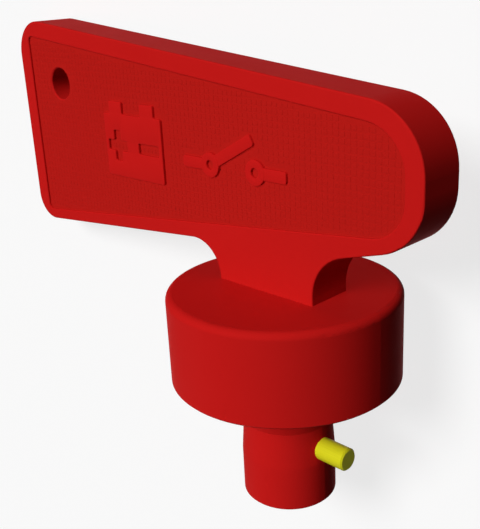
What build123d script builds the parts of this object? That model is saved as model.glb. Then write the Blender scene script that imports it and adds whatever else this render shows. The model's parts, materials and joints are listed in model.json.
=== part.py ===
from build123d import *
import math
import os

# Removable key of a battery isolator switch, in millimetres. Handle, neck, cap and stem are one plastic
# moulding, and a metal cross pin goes through the stem. Profiles are drawn in the handle's middle plane,
# with x from the stem's axis towards the nose and y up the stem from the cap's rim. The heights of sloping
# edges are those at the stem's axis.

# Cap: a round skirt, open below, that covers the boss of the switch
cap_radius = 15.0
cap_height = 12.0
cap_wall = 2.4
cap_roof = 2.6
cap_top_round = 0.9
cap_rim_break = 0.25

# Stem, with a shallow groove under the cap that fades out towards the tip
stem_radius = 6.25
stem_reach = 17.35
stem_tip_break = 0.2
stem_root_round = 1.0
groove_depth = 0.35
groove_top = 4.9
groove_bottom = 6.3
groove_end = 11.2

# Cross pin through the stem
pin_radius = 1.5
pin_reach = 10.2
pin_drop = 9.4
pin_chamfer = 0.2

# Handle: a flat flag that narrows to a rounded nose
handle_thickness = 6.5
handle_back = 50.7
handle_front = 22.4
top_height = 38.65
top_angle = 6.7
underside_height = 17.9
underside_angle = 5.5
chin_height = 15.45
chin_angle = 16.0
top_corner_radius = 5.0
bottom_corner_radius = 3.7
nose_top_radius = 7.9
nose_chin_radius = 7.0
handle_edge_round = 0.2

# Neck between the handle and the cap
neck_back = 8.1
neck_front = 7.5
neck_back_radius = 4.6
notch_radius = 6.1
neck_sink = 1.3

# Shallow panel in each face of the handle. The upright rims below it are those at its two ends: above the
# underside at the back, and above the chin at the nose
panel_back_rim = 2.6
panel_top_rim = 2.4
panel_nose_rim = 2.35
panel_underside_rim = 1.55
panel_chin_rim = 1.25
panel_depth = 0.3
panel_corner_radius = 0.8
panel_edge_round = 0.15

# Hole for a key ring, placed from the back edge and the top edge
ring_hole_radius = 2.3
ring_hole_from_back = 9.6
ring_hole_below_top = 8.4
ring_hole_chamfer = 0.15


def falling(height, angle, x):
    """Point at x on an edge that falls towards the nose."""
    return (x, height - math.tan(math.radians(angle)) * x)


def rising(height, angle, x):
    """Point at x on an edge that rises towards the nose."""
    return (x, height + math.tan(math.radians(angle)) * x)


def round_length(radius, angle):
    """Length that a corner's round takes off an upright edge, beside an edge at this angle."""
    return radius * math.tan(math.radians(45 - angle / 2))


# The panel's edges, the ring hole, the foot of the neck inside the cap's roof, and the hollow in the cap
panel_top = top_height - panel_top_rim / math.cos(math.radians(top_angle))
panel_back = handle_back - panel_back_rim
panel_front = handle_front - panel_nose_rim
panel_back_foot = rising(underside_height + panel_underside_rim, underside_angle, -panel_back)
panel_front_foot = rising(chin_height + panel_chin_rim, chin_angle, panel_front)
ring_hole_x = ring_hole_from_back - handle_back
ring_hole_centre = falling(top_height - ring_hole_below_top, top_angle, ring_hole_x)
neck_foot = cap_height - neck_sink
roof_height = cap_height - cap_roof
bore_radius = cap_radius - cap_wall

# Rounds beside a short upright edge: they shrink where the edge leaves them too little length
nose_top = falling(top_height, top_angle, handle_front)[1]
nose_foot = rising(chin_height, chin_angle, handle_front)[1]
nose_rounds = round_length(nose_top_radius, top_angle) + round_length(nose_chin_radius, chin_angle)
nose_share = min(1, 0.98 * (nose_top - nose_foot) / nose_rounds)
nose_top_bend = nose_top_radius * nose_share
nose_chin_bend = nose_chin_radius * nose_share
neck_back_edge = rising(underside_height, underside_angle, -neck_back)[1] - neck_foot
neck_back_bend = min(neck_back_radius, 0.98 * neck_back_edge / round_length(1, -underside_angle))
neck_front_edge = rising(chin_height, chin_angle, neck_front)[1] - neck_foot
notch_bend = min(notch_radius, 0.98 * neck_front_edge / round_length(1, chin_angle))

# The key lies on its back, on the side of the cap and the far edge of the handle, so it leans on its stem
edge_reach = handle_back - handle_edge_round
edge_depth = handle_thickness / 2 - handle_edge_round
edge_distance = math.hypot(edge_reach, edge_depth)
lean = math.asin((cap_radius - handle_edge_round) / edge_distance) - math.atan2(edge_depth, edge_reach)

# Frame: x along the handle, y up the stem, z up from the surface that the key lies on, zero in mid-base
corner_arc = falling(top_height, top_angle, top_corner_radius - handle_back)[1]
handle_top = corner_arc + top_corner_radius - top_corner_radius / math.cos(math.radians(top_angle))
key_x = Vector(math.cos(lean), 0, math.sin(lean))
stem_axis = Vector(0, 1, 0)
front = key_x.cross(stem_axis)
key_origin = Vector(
    math.cos(lean) * (handle_back - handle_front) / 2, (stem_reach - handle_top) / 2, cap_radius
)
profile_plane = Plane(origin=key_origin, x_dir=key_x, z_dir=front)
pin_plane = Plane(origin=key_origin - stem_axis * pin_drop, x_dir=stem_axis, z_dir=key_x)
front_plane = profile_plane.offset(handle_thickness / 2)
back_plane = profile_plane.offset(-handle_thickness / 2)

# Moulding: handle and neck, then cap and stem, then the panels, the ring hole and the bore for the pin
with BuildPart() as key_moulding:
    with BuildSketch(profile_plane):
        with BuildLine():
            FilletPolyline(
                (-neck_back, neck_foot),
                rising(underside_height, underside_angle, -neck_back),
                rising(underside_height, underside_angle, -handle_back),
                falling(top_height, top_angle, -handle_back),
                falling(top_height, top_angle, handle_front),
                rising(chin_height, chin_angle, handle_front),
                rising(chin_height, chin_angle, neck_front),
                (neck_front, neck_foot),
                radius=(
                    0,
                    neck_back_bend,
                    bottom_corner_radius,
                    top_corner_radius,
                    nose_top_bend,
                    nose_chin_bend,
                    notch_bend,
                    0,
                ),
                close=True,
            )
        make_face()
    extrude(amount=handle_thickness / 2, both=True)
    fillet(faces().filter_by(Axis(key_origin, front)).edges(), handle_edge_round)

    with BuildSketch(profile_plane):
        with BuildLine():
            Polyline(
                (0, -stem_reach),
                (stem_radius, -stem_reach),
                (stem_radius, -groove_end),
                (stem_radius - groove_depth, -groove_bottom),
                (stem_radius, -groove_top),
                (stem_radius, roof_height),
                (bore_radius, roof_height),
                (bore_radius, 0),
                (cap_radius, 0),
                (cap_radius, cap_height),
                (0, cap_height),
                close=True,
            )
        make_face()
        fillet(vertices().sort_by_distance((cap_radius, cap_height))[0], cap_top_round)
        fillet(vertices().sort_by_distance((stem_radius, roof_height))[0], stem_root_round)
        chamfer(vertices().sort_by_distance((stem_radius, -stem_reach))[0], stem_tip_break)
        chamfer(vertices().sort_by_distance((cap_radius, 0))[0], cap_rim_break)
        chamfer(vertices().sort_by_distance((bore_radius, 0))[0], cap_rim_break)
    revolve(axis=Axis(key_origin, stem_axis))

    for panel_plane, inwards in ((front_plane, -1), (back_plane, 1)):
        with BuildSketch(panel_plane):
            with BuildLine():
                FilletPolyline(
                    panel_back_foot,
                    falling(panel_top, top_angle, -panel_back),
                    falling(panel_top, top_angle, panel_front),
                    panel_front_foot,
                    radius=(
                        panel_corner_radius,
                        panel_corner_radius,
                        nose_top_bend - panel_nose_rim,
                        nose_chin_bend - panel_nose_rim,
                    ),
                    close=True,
                )
            make_face()
        extrude(amount=inwards * panel_depth, mode=Mode.SUBTRACT)
        mouth = edges(Select.LAST).group_by(Axis(key_origin, front * -inwards))[-1]
        fillet(mouth, panel_edge_round)

    with BuildSketch(front_plane):
        with Locations(ring_hole_centre):
            Circle(ring_hole_radius)
    extrude(amount=-handle_thickness, mode=Mode.SUBTRACT)
    chamfer(edges(Select.LAST).filter_by(GeomType.CIRCLE), ring_hole_chamfer)

    with BuildSketch(pin_plane):
        Circle(pin_radius)
    extrude(amount=pin_reach, both=True, mode=Mode.SUBTRACT)
key_moulding.part.label = "key_moulding"

# Cross pin: a plain rod, as long on each side of the stem
with BuildPart() as cross_pin:
    with BuildSketch(pin_plane):
        Circle(pin_radius)
    extrude(amount=pin_reach, both=True)
    chamfer(edges().filter_by(GeomType.CIRCLE), pin_chamfer)
cross_pin.part.label = "cross_pin"

os.makedirs("parts", exist_ok=True)
export_step(key_moulding.part, "parts/key_moulding.step")
export_step(cross_pin.part, "parts/cross_pin.step")
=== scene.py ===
"""Looks of a battery isolator key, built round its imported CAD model.

The key lies on its back, on the side of its cap and on the far edge of its handle. The CAD pieces stay as
they are and get their finishes here. The fine grid of pads in both panels and the raised signs of the front
panel are modelled as pieces that stand on the panels' floors. Lengths are in metres, and sizes in
millimetres end in _mm.
"""

from __future__ import annotations

import json
import logging
import math
from dataclasses import dataclass
from enum import Enum
from typing import Any, Sequence

import bmesh
import bpy
from mathutils import Matrix, Vector
from mathutils.bvhtree import BVHTree


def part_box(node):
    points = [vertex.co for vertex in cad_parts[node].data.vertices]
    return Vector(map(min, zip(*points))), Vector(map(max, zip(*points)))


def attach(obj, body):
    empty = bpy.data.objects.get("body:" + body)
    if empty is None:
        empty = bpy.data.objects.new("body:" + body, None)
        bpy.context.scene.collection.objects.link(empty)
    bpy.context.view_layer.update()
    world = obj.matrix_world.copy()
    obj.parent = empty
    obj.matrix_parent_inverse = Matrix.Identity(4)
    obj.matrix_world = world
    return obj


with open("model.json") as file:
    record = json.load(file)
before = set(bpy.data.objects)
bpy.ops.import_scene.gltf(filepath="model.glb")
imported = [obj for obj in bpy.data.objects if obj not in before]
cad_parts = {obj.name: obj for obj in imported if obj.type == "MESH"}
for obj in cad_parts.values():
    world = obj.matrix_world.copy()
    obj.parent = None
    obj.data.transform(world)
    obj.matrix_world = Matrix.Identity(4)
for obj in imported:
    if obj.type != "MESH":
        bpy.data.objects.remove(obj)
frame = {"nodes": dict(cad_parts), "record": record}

MM = 0.001
WHITE = (1.0, 1.0, 1.0)
BODY = "root"
log = logging.getLogger("isolator_key")

Colour = tuple[float, float, float]
Outline = list[tuple[float, float]]


class Face(Enum):
    """A broad face of the handle, with the sign of its depth from the handle's middle plane."""

    FRONT = 1
    BACK = -1


@dataclass(frozen=True)
class KeyFrame:
    """The key's own frame, turned a little round the stem's axis from the frame that the key lies in.

    Attributes:
        origin: Point on the stem's axis, level with the rim of the cap.
        along: Direction along the handle, towards its nose.
        up: Direction up the stem, towards the handle.
        front: Direction out of the handle's front face.
    """

    origin: Vector
    along: Vector
    up: Vector
    front: Vector

    @classmethod
    def from_record(cls, record: dict[str, Any]) -> KeyFrame:
        """Finds the frame from the record's mounts.

        Args:
            record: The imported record.

        Returns:
            The key's own frame.
        """
        mounts = {mount["name"]: mount for mount in record["mounts"]}
        stem = mounts["stem_tip"]["pos_m"]
        rim = mounts["cap_rim"]["pos_m"]
        return cls(
            origin=Vector((stem[0], rim[1], stem[2])),
            along=Vector(mounts["drive_pin_nose_end"]["axis"]),
            up=-Vector(mounts["stem_tip"]["axis"]),
            front=Vector(mounts["ring_hole"]["axis"]),
        )

    def direction(self, along: float, up: float, front: float) -> Vector:
        """Turns a direction of the key's frame into the scene's."""
        return self.along * along + self.up * up + self.front * front

    def point(self, x_mm: float, height_mm: float, depth_mm: float) -> Vector:
        """Turns a point of the key's frame, in millimetres, into the scene's."""
        return self.origin + self.direction(x_mm, height_mm, depth_mm) * MM

    def matrix(self, x_mm: float, height_mm: float, depth_mm: float) -> Matrix:
        """Places a mesh that is drawn along the handle, up the stem and out of the front face.

        Args:
            x_mm: Distance of the mesh's origin from the stem's axis, towards the nose.
            height_mm: Its height above the cap's rim.
            depth_mm: Its depth in front of the handle's middle plane.

        Returns:
            The matrix from the mesh, in metres, to the scene.
        """
        turned = Matrix((self.along, self.up, self.front)).transposed().to_4x4()
        return Matrix.Translation(self.point(x_mm, height_mm, depth_mm)) @ turned


class Value:
    """A number socket that Python's operators work on."""

    def __init__(self, nodes: Nodes, socket: bpy.types.NodeSocket) -> None:
        """Wraps a socket.

        Args:
            nodes: The node tree that the socket belongs to.
            socket: The output socket that holds the number.
        """
        self.nodes = nodes
        self.socket = socket

    def maths(self, operation: str, *values: Value | float) -> Value:
        """Adds a Math node on these values and wraps its result."""
        node = self.nodes.node("ShaderNodeMath", {"operation": operation}, *values)
        return Value(self.nodes, node.outputs[0])

    def __add__(self, other: Value | float) -> Value:
        """Sum."""
        return self.maths("ADD", self, other)

    def __radd__(self, other: Value | float) -> Value:
        """Sum, reflected."""
        return self.maths("ADD", other, self)

    def __sub__(self, other: Value | float) -> Value:
        """Difference."""
        return self.maths("SUBTRACT", self, other)

    def __rsub__(self, other: Value | float) -> Value:
        """Difference, reflected."""
        return self.maths("SUBTRACT", other, self)

    def __mul__(self, other: Value | float) -> Value:
        """Product."""
        return self.maths("MULTIPLY", self, other)

    def __rmul__(self, other: Value | float) -> Value:
        """Product, reflected."""
        return self.maths("MULTIPLY", other, self)

    def __lt__(self, other: Value | float) -> Value:
        """One where this is less than the other, else zero."""
        return self.maths("LESS_THAN", self, other)

    def __gt__(self, other: Value | float) -> Value:
        """One where this is more than the other, else zero."""
        return self.maths("GREATER_THAN", self, other)

    def __abs__(self) -> Value:
        """Size without its sign."""
        return self.maths("ABSOLUTE", self)


class Nodes:
    """Node tree that starts empty and whose nodes are added by calls."""

    def __init__(self, tree: bpy.types.NodeTree) -> None:
        """Empties a tree.

        Args:
            tree: The node tree of a material or of the world.
        """
        self.tree = tree
        self.tree.nodes.clear()

    def feed(self, socket: bpy.types.NodeSocket, value: Any) -> None:
        """Links a socket to another one or sets it.

        Args:
            socket: The input socket.
            value: An output socket, a Value, a number, a colour of three numbers or a vector. None leaves
                the socket as it is.
        """
        if isinstance(value, Value):
            value = value.socket
        if isinstance(value, bpy.types.NodeSocket):
            self.tree.links.new(value, socket)
        elif value is not None:
            socket.default_value = (*value, 1) if socket.type == "RGBA" else value

    def node(
        self, kind: str, settings: dict[str, Any] | None = None, *values: Any, **named: Any
    ) -> bpy.types.Node:
        """Adds a node.

        Args:
            kind: The node's type.
            settings: Its properties, which are set before its sockets.
            *values: What its sockets are fed, in order.
            **named: What its sockets are fed, by name, with an underscore for each space.

        Returns:
            The new node.
        """
        node = self.tree.nodes.new(kind)
        for key, setting in (settings or {}).items():
            setattr(node, key, setting)
        for index, value in enumerate(values):
            self.feed(node.inputs[index], value)
        for name, value in named.items():
            self.feed(node.inputs[name.replace("_", " ")], value)
        return node

    def place(self) -> bpy.types.NodeSocket:
        """The point that is shaded, in the scene's frame, because every piece's object is at the origin."""
        return self.node("ShaderNodeTexCoord").outputs["Object"]

    def normal(self) -> bpy.types.NodeSocket:
        """The surface's own direction at that point."""
        return self.node("ShaderNodeNewGeometry").outputs["Normal"]

    def dot(self, vector: bpy.types.NodeSocket, direction: Vector) -> Value:
        """Length of a vector along a fixed direction."""
        node = self.node("ShaderNodeVectorMath", {"operation": "DOT_PRODUCT"}, vector, tuple(direction))
        return Value(self, node.outputs["Value"])

    def noise(self, place: bpy.types.NodeSocket, size_mm: float, detail: float) -> Value:
        """Even noise about a half, whose spots are about size_mm across."""
        node = self.node("ShaderNodeTexNoise", Vector=place, Scale=1 / (size_mm * MM), Detail=detail)
        return Value(self, node.outputs["Fac"])

    def bump(self, height: Value, height_mm: float) -> bpy.types.NodeSocket:
        """Normals of a surface whose relief is height_mm high where the value is 1."""
        node = self.node("ShaderNodeBump", Strength=1.0, Distance=height_mm * MM, Height=height)
        return node.outputs["Normal"]

    def blend(
        self, share: Value, first: Colour | bpy.types.NodeSocket, second: Colour | bpy.types.NodeSocket
    ) -> bpy.types.NodeSocket:
        """Mixes two colours.

        Args:
            share: How much of the second colour there is, from 0 to 1.
            first: A linear colour, or a socket that holds one.
            second: Another.

        Returns:
            The socket of the mixed colour.
        """
        node = self.node("ShaderNodeMix", {"data_type": "RGBA"}, share)
        ends = [socket for socket in node.inputs if socket.type == "RGBA"]
        for socket, colour in zip(ends, (first, second)):
            self.feed(socket, colour)
        return next(socket for socket in node.outputs if socket.type == "RGBA")

    def seen_directly(self) -> Value:
        """Tells what is seen from what only lights the key.

        Returns:
            One where the camera, a reflection or a clear piece sees the surface, else zero.
        """
        path = self.node("ShaderNodeLightPath").outputs
        kinds = ("Camera", "Glossy", "Transmission")
        camera, glossy, clear = (Value(self, path[f"Is {kind} Ray"]) for kind in kinds)
        return camera + glossy + clear > 0


class Shader(Nodes):
    """Nodes of a new material."""

    def __init__(self, name: str) -> None:
        """Starts a material without nodes.

        Args:
            name: The material's name.
        """
        self.material = bpy.data.materials.new(name)
        self.material.use_nodes = True
        super().__init__(self.material.node_tree)

    def finish(self, surface: bpy.types.Node) -> bpy.types.Material:
        """Ends the material with a surface shader and returns it."""
        self.node("ShaderNodeOutputMaterial", Surface=surface.outputs[0])
        return self.material


@dataclass(frozen=True)
class MouldedPlastic:
    """Satin red plastic: fine grain, faint clouds in its colour, and painted shade on the panels' recessed
    floors.

    Attributes:
        name: The material's name.
        colour: Linear colour of the smooth faces.
        cloud_colour: Linear colour of the faint darker clouds.
        painted_floor_shade: Linear colour of the panels' floors, darker than the faces as painted shade of
            the recess and its grid.
        floor_band_mm: How far from a floor's depth a point still counts as on the floor.
        floor_facing: Least cosine between the surface there and the handle's face.
        cloud_mm: Size of the clouds.
        cloud_detail: Detail of the clouds.
        grain_mm: Size of the fine grain.
        grain_detail: Detail of the fine grain.
        grain_height_mm: Height of the fine grain.
        roughness: Mean roughness.
        roughness_swing: How far the roughness changes over the surface.
        specular: Specular level.
        specular_tint: Linear colour of the highlights, where the surface is seen square on.
    """

    name: str = "moulded_red_plastic"
    colour: Colour = (0.53, 0.0100, 0.0090)
    cloud_colour: Colour = (0.51, 0.0092, 0.0084)
    # Painted shade: the panels' floors are coloured darker to stand in for the shade of the recess and its
    # fine grid.
    painted_floor_shade: Colour = (0.445, 0.0105, 0.0080)
    floor_band_mm: float = 0.03
    floor_facing: float = 0.9
    cloud_mm: float = 7.0
    cloud_detail: float = 2.0
    grain_mm: float = 0.22
    grain_detail: float = 1.0
    grain_height_mm: float = 0.006
    roughness: float = 0.52
    roughness_swing: float = 0.08
    specular: float = 0.006
    specular_tint: Colour = (1.0, 0.30, 0.30)

    def material(self, key: KeyFrame, floor_mm: float) -> bpy.types.Material:
        """Makes the material.

        Args:
            key: The key's own frame.
            floor_mm: Depth of the panels' floors from the handle's middle plane.

        Returns:
            The material.
        """
        shader = Shader(self.name)
        place = shader.place()
        depth = abs(shader.dot(place, key.front) - key.origin.dot(key.front))
        facing = abs(shader.dot(shader.normal(), key.front))
        # Mask of the panels' floors, where the painted shade goes.
        floor_shade_mask = (abs(depth - floor_mm * MM) < self.floor_band_mm * MM) * (facing > self.floor_facing)
        clouds = shader.noise(place, self.cloud_mm, self.cloud_detail)
        grain = shader.noise(place, self.grain_mm, self.grain_detail)
        smooth_faces = shader.blend(clouds, self.colour, self.cloud_colour)
        surface = shader.node(
            "ShaderNodeBsdfPrincipled",
            Base_Color=shader.blend(floor_shade_mask, smooth_faces, self.painted_floor_shade),
            Roughness=self.roughness + (clouds - 0.5) * self.roughness_swing,
            Specular_IOR_Level=self.specular,
            Specular_Tint=self.specular_tint,
            Normal=shader.bump(grain, self.grain_height_mm),
        )
        return shader.finish(surface)


@dataclass(frozen=True)
class DrawnMetal:
    """Yellow drawn rod, with fine lines along its length.

    Attributes:
        name: The material's name.
        colour: Linear colour.
        line_colour: Linear colour in the drawing lines.
        line_mm: Distance of the drawing lines round the rod.
        line_stretch: How many times longer than wide the drawing lines are.
        line_detail: Detail of the drawing lines.
        line_height_mm: Depth of the drawing lines.
        roughness: Roughness.
        metallic: Share of metal in the shading.
        specular: Specular level.
    """

    name: str = "drawn_yellow_metal"
    colour: Colour = (0.68, 0.665, 0.014)
    line_colour: Colour = (0.58, 0.56, 0.012)
    line_mm: float = 0.10
    line_stretch: float = 40.0
    line_detail: float = 2.0
    line_height_mm: float = 0.003
    roughness: float = 0.42
    metallic: float = 0.03
    specular: float = 0.05

    def material(self, key: KeyFrame) -> bpy.types.Material:
        """Makes the material.

        Args:
            key: The key's own frame; the rod lies along its handle.

        Returns:
            The material.
        """
        shader = Shader(self.name)
        place = shader.place()
        drawn = shader.node(
            "ShaderNodeCombineXYZ",
            X=shader.dot(place, key.along) * (1 / self.line_stretch),
            Y=shader.dot(place, key.up),
            Z=shader.dot(place, key.front),
        )
        lines = shader.noise(drawn.outputs["Vector"], self.line_mm, self.line_detail)
        surface = shader.node(
            "ShaderNodeBsdfPrincipled",
            Base_Color=shader.blend(lines, self.colour, self.line_colour),
            Roughness=self.roughness,
            Metallic=self.metallic,
            Specular_IOR_Level=self.specular,
            Normal=shader.bump(lines, self.line_height_mm),
        )
        return shader.finish(surface)


@dataclass(frozen=True)
class StudioFloor:
    """White floor that keeps the key's shadow and throws little light back under the key.

    Attributes:
        name: The material's name.
        level: Linear grey level that the camera and reflections see.
        bounce: Linear grey level for the light that the floor throws back.
        glow: Share of plain white in what the camera sees, which keeps the shadow pale.
    """

    name: str = "studio_floor"
    level: float = 0.96
    bounce: float = 0.04
    glow: float = 0.50

    def material(self) -> bpy.types.Material:
        """Makes the material.

        Returns:
            The material.
        """
        shader = Shader(self.name)
        seen = shader.seen_directly()
        colour = shader.blend(seen, (self.bounce,) * 3, (self.level,) * 3)
        matt = shader.node("ShaderNodeBsdfDiffuse", Color=colour)
        white = shader.node("ShaderNodeEmission", Color=WHITE, Strength=1.0)
        share = seen * self.glow
        surface = shader.node("ShaderNodeMixShader", None, share, matt.outputs[0], white.outputs[0])
        return shader.finish(surface)


def dress(piece: bpy.types.Object, material: bpy.types.Material, smooth_deg: float | None = None) -> None:
    """Gives a piece one material and, if asked, smooth shading up to an angle.

    Args:
        piece: The piece.
        material: Its only material.
        smooth_deg: Angle between faces up to which they shade as one, or None to leave the shading.
    """
    if piece.data.materials:
        for index in range(len(piece.data.materials)):
            piece.data.materials[index] = material
    else:
        piece.data.materials.append(material)
    if smooth_deg is not None:
        piece.data.shade_smooth()
        piece.data.set_sharp_from_angle(angle=math.radians(smooth_deg))


def settle(piece: bpy.types.Object) -> None:
    """Makes a new plastic piece part of the key.

    Args:
        piece: The piece, in its place.
    """
    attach(piece, BODY)
    log.info("%s: %d faces", piece.name, len(piece.data.polygons))


def rounded(corners: Outline, radius: float, steps: int = 5) -> Outline:
    """Rounds the corners of a closed outline.

    Args:
        corners: The outline's corners, in order.
        radius: Radius of each corner.
        steps: Stretches that each round is drawn with.

    Returns:
        The points of the rounded outline.
    """
    points: Outline = []
    for index, corner in enumerate(corners):
        here = Vector(corner)
        before = (Vector(corners[index - 1]) - here).normalized()
        after = (Vector(corners[(index + 1) % len(corners)]) - here).normalized()
        half = before.angle(after) / 2
        centre = here + (before + after).normalized() * (radius / math.sin(half))
        start = here + before * (radius / math.tan(half)) - centre
        end = here + after * (radius / math.tan(half)) - centre
        sweep = start.angle_signed(end)
        for step in range(steps + 1):
            turned = Vector(start)
            turned.rotate(Matrix.Rotation(-sweep * step / steps, 2))
            points.append(tuple(centre + turned))
    return points


def rectangle(x: float, y: float, width: float, height: float) -> Outline:
    """Draws an upright rectangle.

    Args:
        x: Its middle, across.
        y: Its middle, up.
        width: Its width.
        height: Its height.

    Returns:
        Its corners, in order.
    """
    return [
        (x - width / 2, y - height / 2),
        (x + width / 2, y - height / 2),
        (x + width / 2, y + height / 2),
        (x - width / 2, y + height / 2),
    ]


def bar(start: Sequence[float], end: Sequence[float], width: float) -> Outline:
    """Draws a bar with square ends.

    Args:
        start: Middle of its first end.
        end: Middle of its other end.
        width: Its width.

    Returns:
        Its corners, in order.
    """
    first, last = Vector(start), Vector(end)
    run = (last - first).normalized()
    side = Vector((-run.y, run.x)) * (width / 2)
    return [tuple(first - side), tuple(last - side), tuple(last + side), tuple(first + side)]


def circle(x: float, y: float, radius: float, steps: int = 40) -> Outline:
    """Points of a circle."""
    turns = [2 * math.pi * step / steps for step in range(steps)]
    return [(x + radius * math.cos(turn), y + radius * math.sin(turn)) for turn in turns]


def relief(mesh: bmesh.types.BMesh, outlines: Sequence[Outline], height: float, edge: float) -> None:
    """Adds a raised flat form with a rounded upper edge to a mesh.

    Args:
        mesh: The mesh, in millimetres.
        outlines: The form's outer outline and, after it, the outlines of its openings.
        height: Height of the form's top above the mesh's origin.
        edge: Width of the rounded edge.
    """
    lines = []
    for outline in outlines:
        corners = [mesh.verts.new((*point, 0.0)) for point in outline]
        lines += [mesh.edges.new(pair) for pair in zip(corners, corners[1:] + corners[:1])]
    filled = bmesh.ops.triangle_fill(mesh, use_beauty=True, edges=lines, normal=(0, 0, 1))["geom"]
    base = [item for item in filled if isinstance(item, bmesh.types.BMFace)]
    raised = bmesh.ops.extrude_face_region(mesh, geom=base, use_keep_orig=True)["geom"]
    lifted = [item for item in raised if isinstance(item, bmesh.types.BMVert)]
    bmesh.ops.translate(mesh, verts=lifted, vec=(0, 0, height))
    for face in base:
        face.normal_flip()
    top = [item for item in raised if isinstance(item, bmesh.types.BMFace)]
    inside = set(top)
    rim = [line for face in top for line in face.edges if len(inside.intersection(line.link_faces)) == 1]
    bmesh.ops.bevel(mesh, geom=rim, offset=edge, segments=3, profile=0.5, affect="EDGES")


def put_in_order(mesh: bmesh.types.BMesh) -> None:
    """Orders a mesh's points and faces by their place, because a bevel leaves them in no fixed order.

    Args:
        mesh: The mesh.
    """
    middles = (
        (mesh.verts, lambda point: tuple(point.co)),
        (mesh.faces, lambda face: tuple(face.calc_center_median())),
    )
    for items, middle in middles:
        ranks = {item: rank for rank, item in enumerate(sorted(items, key=middle))}
        items.sort(key=ranks.get)
        items.index_update()


def new_piece(name: str, mesh: bmesh.types.BMesh, place: Matrix) -> bpy.types.Object:
    """Turns a mesh in millimetres into an object of the scene, which is at the origin as a CAD node's is.

    Args:
        name: The piece's name.
        mesh: Its mesh, which is freed.
        place: Place of the mesh in the scene.

    Returns:
        The piece.
    """
    bmesh.ops.recalc_face_normals(mesh, faces=mesh.faces)
    bmesh.ops.scale(mesh, vec=(MM, MM, MM), verts=mesh.verts)
    put_in_order(mesh)
    mesh.transform(place)
    data = bpy.data.meshes.new(name)
    mesh.to_mesh(data)
    mesh.free()
    piece = bpy.data.objects.new(name, data)
    bpy.context.scene.collection.objects.link(piece)
    return piece


@dataclass(frozen=True)
class BatterySign:
    """Raised plate in the form of a battery, with a plus and a minus let into it.

    Attributes:
        x_mm: Middle of the plate, from the stem's axis.
        height_mm: Middle of the plate, above the cap's rim.
        width_mm: Width of the battery's case.
        case_mm: Height of the battery's case.
        terminal_width_mm: Width of a terminal.
        terminal_mm: Height of a terminal.
        terminal_x_mm: Distance of a terminal from the middle.
        mark_mm: Length of the plus and of the minus.
        stroke_mm: Width of their strokes.
        corner_mm: Radius of the corners.
        relief_mm: Height above the panel's floor.
        edge_mm: Width of the rounded upper edge.
        smooth_deg: Angle between faces up to which they shade as one.
    """

    x_mm: float = -24.2
    height_mm: float = 28.2
    width_mm: float = 12.4
    case_mm: float = 8.8
    terminal_width_mm: float = 2.8
    terminal_mm: float = 1.7
    terminal_x_mm: float = 3.4
    mark_mm: float = 4.3
    stroke_mm: float = 1.5
    corner_mm: float = 0.25
    relief_mm: float = 0.40
    edge_mm: float = 0.10
    smooth_deg: float = 35.0

    def outlines(self) -> list[Outline]:
        """Draws the plate, with its corners rounded.

        Returns:
            Its outer outline, then those of the plus and the minus.
        """
        half, low = self.width_mm / 2, -(self.case_mm + self.terminal_mm) / 2
        top = low + self.case_mm
        peak = top + self.terminal_mm
        inner = self.terminal_x_mm - self.terminal_width_mm / 2
        outer = self.terminal_x_mm + self.terminal_width_mm / 2
        right = [(inner, top), (inner, peak), (outer, peak), (outer, top), (half, top), (half, low)]
        case = right + [(-x, y) for x, y in reversed(right)]
        middle = (low + top) / 2
        arm, stroke = self.mark_mm / 2, self.stroke_mm / 2
        quarter = [(arm, -stroke), (arm, stroke), (stroke, stroke)]
        plus: Outline = []
        for _ in range(4):
            plus += quarter
            quarter = [(-y, x) for x, y in quarter]
        plus = [(x - self.terminal_x_mm, y + middle) for x, y in plus]
        minus = rectangle(self.terminal_x_mm, middle, self.mark_mm, self.stroke_mm)
        return [rounded(outline, self.corner_mm) for outline in (case, plus, minus)]

    def build(self, key: KeyFrame, floor_mm: float, material: bpy.types.Material) -> bpy.types.Object:
        """Builds the plate on the panel's floor.

        Args:
            key: The key's own frame.
            floor_mm: Depth of the floor in front of the handle's middle plane.
            material: Its finish.

        Returns:
            The piece.
        """
        mesh = bmesh.new()
        relief(mesh, self.outlines(), self.relief_mm, self.edge_mm)
        piece = new_piece("battery_sign", mesh, key.matrix(self.x_mm, self.height_mm, floor_mm))
        dress(piece, material, self.smooth_deg)
        settle(piece)
        return piece


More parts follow.
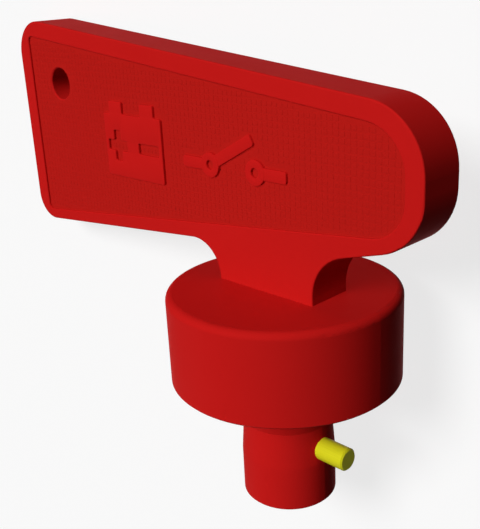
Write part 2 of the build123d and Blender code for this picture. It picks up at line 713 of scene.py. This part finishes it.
@dataclass(frozen=True)
class SwitchSign:
    """Raised circuit sign of an open switch: two leads, two contacts and a lifted lever.

    Attributes:
        x_mm: Middle of the sign, from the stem's axis.
        height_mm: Height of the leads above the cap's rim.
        length_mm: Length of the whole sign.
        gap_mm: Distance between the contacts' middles.
        lever_mm: Length of the lever from its contact's middle.
        lever_deg: Slope of the lever.
        stroke_mm: Width of the leads and the lever.
        corner_mm: Radius of their corners.
        contact_mm: Radius of a contact.
        contact_hole_mm: Radius of the hole in a contact.
        relief_mm: Height of the leads and the lever above the panel's floor.
        contact_relief_mm: Height of the contacts above it.
        edge_mm: Width of the rounded upper edge.
        smooth_deg: Angle between faces up to which they shade as one.
    """

    x_mm: float = -4.9
    height_mm: float = 26.9
    length_mm: float = 17.8
    gap_mm: float = 7.8
    lever_mm: float = 8.4
    lever_deg: float = 28.0
    stroke_mm: float = 1.5
    corner_mm: float = 0.3
    contact_mm: float = 1.6
    contact_hole_mm: float = 0.6
    relief_mm: float = 0.36
    contact_relief_mm: float = 0.40
    edge_mm: float = 0.10
    smooth_deg: float = 35.0

    def build(self, key: KeyFrame, floor_mm: float, material: bpy.types.Material) -> bpy.types.Object:
        """Builds the sign on the panel's floor. The strips end inside the contacts, clear of their holes.

        Args:
            key: The key's own frame.
            floor_mm: Depth of the floor in front of the handle's middle plane.
            material: Its finish.

        Returns:
            The piece.
        """
        mesh = bmesh.new()
        contact, end = self.gap_mm / 2, self.length_mm / 2
        inside = (self.contact_mm + self.contact_hole_mm) / 2
        slope = math.radians(self.lever_deg)
        pivot, lever = Vector((-contact, 0)), Vector((math.cos(slope), math.sin(slope)))
        strips = (
            ((-end, 0), (-contact - inside, 0)),
            ((contact + inside, 0), (end, 0)),
            (pivot + lever * inside, pivot + lever * self.lever_mm),
        )
        for start, stop in strips:
            strip = rounded(bar(start, stop, self.stroke_mm), self.corner_mm)
            relief(mesh, [strip], self.relief_mm, self.edge_mm)
        for x in (-contact, contact):
            rings = [circle(x, 0, self.contact_mm), circle(x, 0, self.contact_hole_mm)]
            relief(mesh, rings, self.contact_relief_mm, self.edge_mm)
        piece = new_piece("switch_sign", mesh, key.matrix(self.x_mm, self.height_mm, floor_mm))
        dress(piece, material, self.smooth_deg)
        settle(piece)
        return piece


@dataclass(frozen=True)
class PanelGrid:
    """Fine grid of low square pads on the floor of one panel, clear of its walls, its hole and its signs.

    Attributes:
        face: The face of the handle that holds the panel.
        pitch_mm: Distance from pad to pad.
        foot_mm: Width of a pad at the floor.
        top_mm: Width of a pad at its top.
        rise_mm: Height of a pad.
        sunk_mm: How far a pad reaches into the floor.
        clearance_mm: Least distance of a pad's foot from anything that stands out of the floor.
        look_from_mm: Distance from the floor at which the search for it starts.
        look_mm: Length of that search.
        level_mm: How far from the floor's depth a point still counts as on the floor.
    """

    face: Face
    pitch_mm: float = 0.80
    foot_mm: float = 0.60
    top_mm: float = 0.55
    rise_mm: float = 0.035
    sunk_mm: float = 0.01
    clearance_mm: float = 0.12
    look_from_mm: float = 5.0
    look_mm: float = 6.0
    level_mm: float = 0.005

    def build(
        self,
        key: KeyFrame,
        floor_mm: float,
        moulding: bpy.types.Object,
        signs: Sequence[bpy.types.Object],
        material: bpy.types.Material,
    ) -> bpy.types.Object:
        """Builds the grid.

        Args:
            key: The key's own frame.
            floor_mm: Depth of the floors from the handle's middle plane.
            moulding: The CAD node with the panels.
            signs: Raised pieces that the grid leaves free.
            material: The grid's material, here one in the darker floor colour, which is painted shade.

        Returns:
            The piece.
        """
        graph = bpy.context.evaluated_depsgraph_get()
        moulded = BVHTree.FromObject(moulding, graph)
        standing = [BVHTree.FromObject(sign, graph) for sign in signs]
        side = self.face.value
        into = key.front * -side
        look = self.look_mm * MM

        def is_floor(x_mm: float, height_mm: float) -> bool:
            """Looks straight at the face of the handle.

            Args:
                x_mm: Place of the look, from the stem's axis towards the nose.
                height_mm: Its height above the cap's rim.

            Returns:
                True where the look meets the panel's floor first.
            """
            start = key.point(x_mm, height_mm, side * (floor_mm + self.look_from_mm))
            hit = moulded.ray_cast(start, into, look)[0]
            if hit is None:
                return False
            depth_mm = (hit - key.origin).dot(key.front) * side / MM
            if abs(depth_mm - floor_mm) > self.level_mm:
                return False
            return all(sign.ray_cast(start, into, look)[0] is None for sign in standing)

        low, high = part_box("key_moulding")
        count = int((high - low).length / MM / self.pitch_mm)
        half = self.foot_mm / 2 + self.clearance_mm
        probes = [(i * half, j * half) for i in (-1, 0, 1) for j in (-1, 0, 1)]
        mesh = bmesh.new()
        for column in range(-count, count):
            for row in range(count):
                x, height = column * self.pitch_mm, row * self.pitch_mm
                if is_floor(x, height) and all(is_floor(x + i, height + j) for i, j in probes):
                    self.add_pad(mesh, x, height, side)
        name = f"{self.face.name.lower()}_panel_grid"
        piece = new_piece(name, mesh, key.matrix(0, 0, side * floor_mm))
        dress(piece, material)
        settle(piece)
        return piece

    def add_pad(self, mesh: bmesh.types.BMesh, x: float, height: float, side: int) -> None:
        """Adds one pad about a point of the floor.

        Args:
            mesh: The mesh of all pads, in millimetres.
            x: The pad's middle, along the handle.
            height: The pad's middle, up the stem.
            side: 1 where the pad rises towards the front and -1 towards the back.
        """
        foot = rectangle(x, height, self.foot_mm, self.foot_mm)
        top = rectangle(x, height, self.top_mm, self.top_mm)
        low = [mesh.verts.new((*point, -side * self.sunk_mm)) for point in foot]
        high = [mesh.verts.new((*point, side * self.rise_mm)) for point in top]
        mesh.faces.new(low[::-1])
        mesh.faces.new(high)
        for i in range(4):
            j = (i + 1) % 4
            mesh.faces.new((low[i], low[j], high[j], high[i]))


@dataclass(frozen=True)
class Lamp:
    """Distant lamp, wide enough for soft shadows.

    Attributes:
        name: The lamp's name.
        strength: Its strength.
        comes_from: Direction that its light comes from, in the key's frame (along, up, front).
        spread_deg: Its width, seen from the key.
        casts_shadow: Whether it throws shadows.
    """

    name: str
    strength: float
    comes_from: tuple[float, float, float]
    spread_deg: float = 22.0
    casts_shadow: bool = True

    def build(self, key: KeyFrame) -> None:
        """Hangs the lamp.

        Args:
            key: The key's own frame.
        """
        lamp = bpy.data.lights.new(self.name, "SUN")
        lamp.energy = self.strength
        lamp.angle = math.radians(self.spread_deg)
        lamp.use_shadow = self.casts_shadow
        light = bpy.data.objects.new(self.name, lamp)
        light.rotation_mode = "QUATERNION"
        light.rotation_quaternion = key.direction(*self.comes_from).to_track_quat("Z", "Y")
        bpy.context.scene.collection.objects.link(light)
        log.info("%s hung", self.name)


@dataclass(frozen=True)
class Studio:
    """Floor, lamps and white surroundings.

    Attributes:
        floor_m: Width of the floor.
        lamps: Two that shine together on the handle's front face, one of them without shadows so that the
            shadows stay open, and a weak one on the stem's end.
        fill: Level of the light from all round.
    """

    floor_m: float = 6.0
    lamps: tuple[Lamp, ...] = (
        Lamp("main_light", 1.20, (0.06, 0.49, 0.870)),
        Lamp("open_light", 2.10, (0.06, 0.49, 0.870), casts_shadow=False),
        Lamp("stem_light", 0.45, (-0.75, -0.62, 0.22)),
    )
    fill: float = 0.012

    def build(self, key: KeyFrame) -> None:
        """Builds the studio round the key.

        Args:
            key: The key's own frame.
        """
        self.add_floor()
        for lamp in self.lamps:
            lamp.build(key)
        self.add_world()

    def add_floor(self) -> None:
        """Lays the floor under the key."""
        mesh = bmesh.new()
        bmesh.ops.create_grid(mesh, x_segments=1, y_segments=1, size=self.floor_m / 2)
        data = bpy.data.meshes.new("studio_floor")
        mesh.to_mesh(data)
        mesh.free()
        floor = bpy.data.objects.new("studio_floor", data)
        bpy.context.scene.collection.objects.link(floor)
        dress(floor, StudioFloor().material())
        log.info("floor laid")

    def add_world(self) -> None:
        """Lights the key a little from all round, before white surroundings."""
        world = bpy.data.worlds.new("surroundings")
        world.use_nodes = True
        bpy.context.scene.world = world
        nodes = Nodes(world.node_tree)
        strength = self.fill + nodes.seen_directly() * (1 - self.fill)
        background = nodes.node("ShaderNodeBackground", Color=WHITE, Strength=strength)
        nodes.node("ShaderNodeOutputWorld", Surface=background.outputs[0])
        log.info("surroundings set")


@dataclass(frozen=True)
class PhotoCamera:
    """Camera at the photograph's viewing angle.

    Attributes:
        aim_mm: Point that it looks at, in the key's frame (along, up, front).
        distance_mm: Its distance from that point.
        azimuth_deg: How far it stands round the stem from straight in front, towards the nose.
        elevation_deg: How far it looks down the stem.
        roll_deg: How far its top is turned to its right.
        focal_px: Focal length in the photograph's pixels.
        photo_px: Width and height of the photograph.
        clip_m: Nearest and farthest distance that it sees.
    """

    aim_mm: tuple[float, float, float] = (-2.208, 15.728, 5.283)
    distance_mm: float = 100.0
    azimuth_deg: float = 46.2154
    elevation_deg: float = 19.6573
    roll_deg: float = 3.0144
    focal_px: float = 817.66
    photo_px: tuple[int, int] = (480, 529)
    clip_m: tuple[float, float] = (0.005, 50.0)

    def build(self, key: KeyFrame) -> None:
        """Places the camera and makes it the scene's.

        Args:
            key: The key's own frame.
        """
        azimuth, elevation = math.radians(self.azimuth_deg), math.radians(self.elevation_deg)
        level = math.cos(elevation)
        back = key.direction(level * math.sin(azimuth), math.sin(elevation), level * math.cos(azimuth))
        level_right = key.up.cross(back).normalized()
        upright = back.cross(level_right)
        roll = math.radians(self.roll_deg)
        top = upright * math.cos(roll) + level_right * math.sin(roll)
        turned = Matrix((top.cross(back), top, back)).transposed().to_4x4()
        stand = key.point(*self.aim_mm) + back * self.distance_mm * MM
        data = bpy.data.cameras.new("photo_camera")
        data.lens = self.focal_px * data.sensor_width / max(self.photo_px)
        data.clip_start, data.clip_end = self.clip_m
        camera = bpy.data.objects.new("photo_camera", data)
        camera.matrix_world = Matrix.Translation(stand) @ turned
        bpy.context.scene.collection.objects.link(camera)
        bpy.context.scene.camera = camera
        log.info("camera placed")


@dataclass(frozen=True)
class IsolatorKey:
    """The key: its CAD nodes with their finishes, the panels' grids and the raised signs.

    Attributes:
        nodes: The CAD nodes by name.
        key: The key's own frame.
        panel_x_mm: Place on the front panel where its depth is read, from the stem's axis.
        panel_height_mm: Height of that place above the cap's rim.
        look_from_mm: Distance from the handle's middle plane at which the search for the floor starts.
    """

    nodes: dict[str, bpy.types.Object]
    key: KeyFrame
    panel_x_mm: float = -10.0
    panel_height_mm: float = 27.0
    look_from_mm: float = 20.0

    def floor_depth(self) -> float:
        """Reads how deep the panels' floors lie.

        Returns:
            Their depth from the handle's middle plane, in millimetres.
        """
        tree = BVHTree.FromObject(self.nodes["key_moulding"], bpy.context.evaluated_depsgraph_get())
        start = self.key.point(self.panel_x_mm, self.panel_height_mm, self.look_from_mm)
        hit = tree.ray_cast(start, -self.key.front)[0]
        return (hit - self.key.origin).dot(self.key.front) / MM

    def build(self) -> None:
        """Dresses the CAD nodes and adds the signs and the grids."""
        floor_mm = self.floor_depth()
        moulding = self.nodes["key_moulding"]
        plastic = MouldedPlastic().material(self.key, floor_mm)
        # The grid's pads take the darker floor colour too, so they carry the same painted shade.
        floor_shade_colour = MouldedPlastic.painted_floor_shade
        grid_painted_shade = MouldedPlastic("moulded_red_panel_painted_shade", colour=floor_shade_colour, cloud_colour=floor_shade_colour)
        grid_plastic = grid_painted_shade.material(self.key, floor_mm)
        dress(moulding, plastic)
        dress(self.nodes["cross_pin"], DrawnMetal().material(self.key))
        log.info("CAD pieces dressed, panel floors at %.3f mm", floor_mm)
        signs = [sign.build(self.key, floor_mm, plastic) for sign in (BatterySign(), SwitchSign())]
        for face, standing in ((Face.FRONT, signs), (Face.BACK, [])):
            PanelGrid(face).build(self.key, floor_mm, moulding, standing, grid_plastic)


def main() -> None:
    """Builds the key and its studio."""
    logging.basicConfig(level=logging.INFO, format="%(name)s: %(message)s")
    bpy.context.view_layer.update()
    key = KeyFrame.from_record(frame["record"])
    PhotoCamera().build(key)
    Studio().build(key)
    IsolatorKey(frame["nodes"], key).build()
    bpy.context.scene.view_settings.view_transform = "Standard"


if __name__ == "__main__":
    main()
